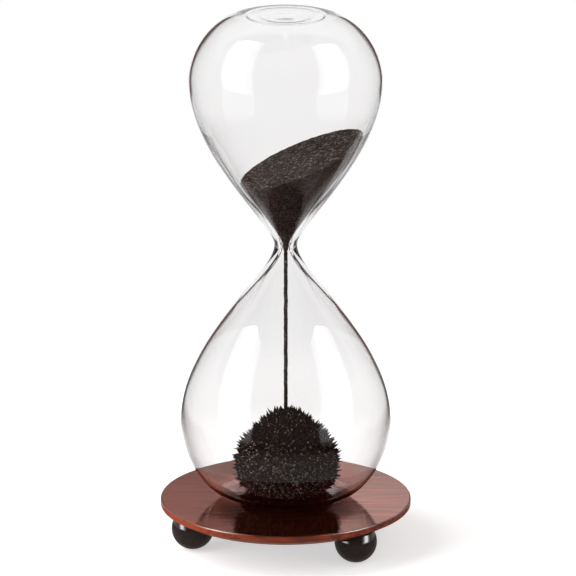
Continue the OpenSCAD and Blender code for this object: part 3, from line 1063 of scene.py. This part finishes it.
def spike_way(base, wander):
    """The direction of the field at a point, with some wander."""
    way = (base - Vector((0, 0, GLASS_FLOOR_Z + POLE_H))).normalized()
    return (way + Vector([random.uniform(-wander, wander) for _ in range(3)])).normalized()


print("spikes point away from", POLE_H, "mm above the glass floor")

# %% Grow the spikes
random.seed(23)
THORN_SIDES, NEEDLE_SIDES = 6, 3
STRAY = 0.45
SKIRT_GROWTH, FULL_GROWTH_H = 0.3, 7
FLOOR_GAP, LANDING_GAP = 0.4, 1.2


def along_profile(pitch):
    """Profile points a pitch apart, measured along the core's side."""
    spots, left = [], pitch / 2
    for a, b in zip(core_profile, core_profile[1:]):
        length = (b - a).length
        while left <= length:
            spots.append(a.lerp(b, left / length))
            left += pitch
        left -= length
    return spots


def grow(pitch, wander, lengths, width, sides):
    """Covers the core with rows of spikes about a pitch apart. Gives their number."""
    count = 0
    for spot in along_profile(pitch):
        in_row = max(1, round(math.tau * spot.x / pitch))
        for k in range(in_row):
            angle = math.tau * (k + random.uniform(-STRAY, STRAY)) / in_row
            shifted = spot + Vector((0, random.uniform(-STRAY, STRAY) * pitch))
            growth = min(1, SKIRT_GROWTH + shifted.y / FULL_GROWTH_H)
            length = growth * random.uniform(*lengths)
            base = core_point(shifted, angle)
            if base.z > GLASS_FLOOR_Z + FLOOR_GAP and spot.x > LANDING_GAP:
                add_spike(base, spike_way(base, wander), length, width * growth, sides)
                count += 1
    return count


print("thorns:", grow(pitch=1.5, wander=0.16, lengths=(1.3, 2.6), width=0.62, sides=THORN_SIDES))
print("needles:", grow(pitch=0.62, wander=0.3, lengths=(0.5, 1.0), width=0.17, sides=NEEDLE_SIDES))
mound = new_piece("spiked_mound", points, faces, "hourglass", "lower_mound")
mound.data.materials.append(spiked_iron)
mound.data.shade_flat()

# %% [markdown]
# ## The wooden stand
#
# The disc is turned wood under a red-brown stain and a hard clear lacquer. The lacquer is
# what one sees first: a sharp mirror at a low angle. The polished stain below it mirrors too,
# in its own colour, so the flat top is treated as almost metallic, with the shader's coat as
# the lacquer. Toward the left the stain is painted paler: painted light. The rim is duller,
# and its tone is painted darker, darkest at the arris, the edge where it meets the top:
# painted shade. The grain runs across the disc in fine, stretched streaks.

# %% The finish of the disc
# Across PAINTED_LIGHT_LEFT_X the disc is painted lighter toward the left: painted light.
PAINTED_LIGHT_LEFT_X = -0.034, -0.008
# RIM_PAINTED_SHADE and ARRIS_SHADE paint the rim darker, darkest at the arris: painted shade.
FACES_UP, RIM_ROUGH, TOP_ROUGH, RIM_PAINTED_SHADE = (0.9, 0.99), 0.25, 0.07, 0.65
ARRIS_RIM, ARRIS_TOP, ARRIS_SHADE = (0.3, 0.6), (0.97, 0.995), 0.5


def dress(node_names, material):
    """Gives carried-over CAD nodes their finish."""
    for name in node_names:
        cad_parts[name].material_slots[0].material = material


def wood_finish(name, dark, pale, streak, drift, shimmer, coat):
    """Stained wood with streaks along X, under a clear coat. Drift paints it lighter toward the left, as
    painted light; faces that don't face up are painted darker, most at the arris, as painted shade.
    """
    made, tree = new_finish(name)
    spot = put(tree, "TexCoord").outputs["Object"]
    stretched = put(tree, "Mapping", Vector=spot, Scale=(1, streak, streak))
    streaks = put(tree, "TexNoise", Vector=stretched.outputs[0], Scale=60.0, Detail=6.0, Distortion=0.4)
    rightward = put(tree, "SeparateXYZ", Vector=spot).outputs["X"]
    # The grain streaks, plus painted light that makes the left paler.
    grain_and_painted_light = maths(tree, "ADD", streaks.outputs["Fac"], spread(tree, rightward, *PAINTED_LIGHT_LEFT_X, drift, 0.0))
    pores = put(tree, "Bump", Height=streaks.outputs["Fac"], Strength=0.05, Distance=0.0005)
    flat = put(tree, "SeparateXYZ", Vector=put(tree, "NewGeometry").outputs["Normal"]).outputs["Z"]
    # The rim and its arris are painted darker: painted shade.
    arris_painted_shade = product(tree, spread(tree, flat, *ARRIS_RIM), fade_out(tree, flat, *ARRIS_TOP))
    painted_light_gain = spread(tree, flat, *FACES_UP, RIM_PAINTED_SHADE, 1.0)
    painted_light_gain = maths(tree, "SUBTRACT", painted_light_gain, maths(tree, "MULTIPLY", arris_painted_shade, ARRIS_SHADE))
    wood = put(
        tree, "BsdfPrincipled",
        Base_Color=scaled(tree, ramp(tree, grain_and_painted_light, (0.25, dark), (0.75, pale)), painted_light_gain),
        Metallic=spread(tree, flat, *FACES_UP, 0.0, shimmer),
        Roughness=spread(tree, flat, *FACES_UP, RIM_ROUGH, TOP_ROUGH),
        Normal=pores.outputs[0], Coat_Weight=coat, Coat_Roughness=0.03, Coat_IOR=1.5)
    put(tree, "OutputMaterial", Surface=wood.outputs[0])
    return made


# drift=0.3 paints the left of the lacquered disc lighter, as painted light.
red_lacquer = wood_finish(
    "red_brown_lacquer", dark=(0.08, 0.014, 0.005), pale=(0.46, 0.075, 0.024),
    streak=14, drift=0.3, shimmer=0.97, coat=0.3)
beech = wood_finish(
    "turned_beech", dark=(0.42, 0.26, 0.13), pale=(0.58, 0.4, 0.22),
    streak=8, drift=0.0, shimmer=0.0, coat=0.0)
dress(["base_disc"], red_lacquer)
dress(["dowel_left", "dowel_right", "dowel_back"], beech)
print("disc and dowels dressed")

# %% [markdown]
# ## The ball feet and the magnet
#
# The feet are wooden balls dipped in black gloss lacquer. Dipped lacquer is never quite
# even, so its tone and its gloss drift a little over each ball. The magnet is pressed
# ferrite: dull, dark grey and faintly mottled.

# %% The finish of the feet and the magnet
def gloss_black(name):
    """Black dipped lacquer with a faint drift in tone and gloss."""
    made, tree = new_finish(name)
    spot = put(tree, "TexCoord").outputs["Object"]
    drift = put(tree, "TexNoise", Vector=spot, Scale=160.0, Detail=2.0)
    tone = ramp(tree, drift.outputs["Fac"], (0.3, (0.016, 0.011, 0.0095)), (0.7, (0.028, 0.02, 0.017)))
    rough = spread(tree, drift.outputs["Fac"], 0.3, 0.7, 0.05, 0.1)
    ripple = put(tree, "Bump", Height=drift.outputs["Fac"], Strength=0.03, Distance=0.0005)
    black = put(tree, "BsdfPrincipled", Base_Color=tone, Roughness=rough, Normal=ripple.outputs[0])
    put(tree, "OutputMaterial", Surface=black.outputs[0])
    return made


def pressed_ferrite(name):
    """Dull grey sintered ceramic."""
    made, tree = new_finish(name)
    spot = put(tree, "TexCoord").outputs["Object"]
    mottle = put(tree, "TexNoise", Vector=spot, Scale=900.0, Detail=4.0)
    tone = ramp(tree, mottle.outputs["Fac"], (0.35, (0.045, 0.044, 0.046)), (0.65, (0.09, 0.088, 0.09)))
    rough = spread(tree, mottle.outputs["Fac"], 0.3, 0.7, 0.5, 0.75)
    pits = put(tree, "Bump", Height=mottle.outputs["Fac"], Strength=0.2, Distance=0.0003)
    ceramic = put(tree, "BsdfPrincipled", Base_Color=tone, Roughness=rough, Normal=pits.outputs[0])
    put(tree, "OutputMaterial", Surface=ceramic.outputs[0])
    return made


dress(["foot_left", "foot_right", "foot_back"], gloss_black("black_lacquer"))
dress(["magnet"], pressed_ferrite("pressed_ferrite"))
print("feet and magnet dressed")
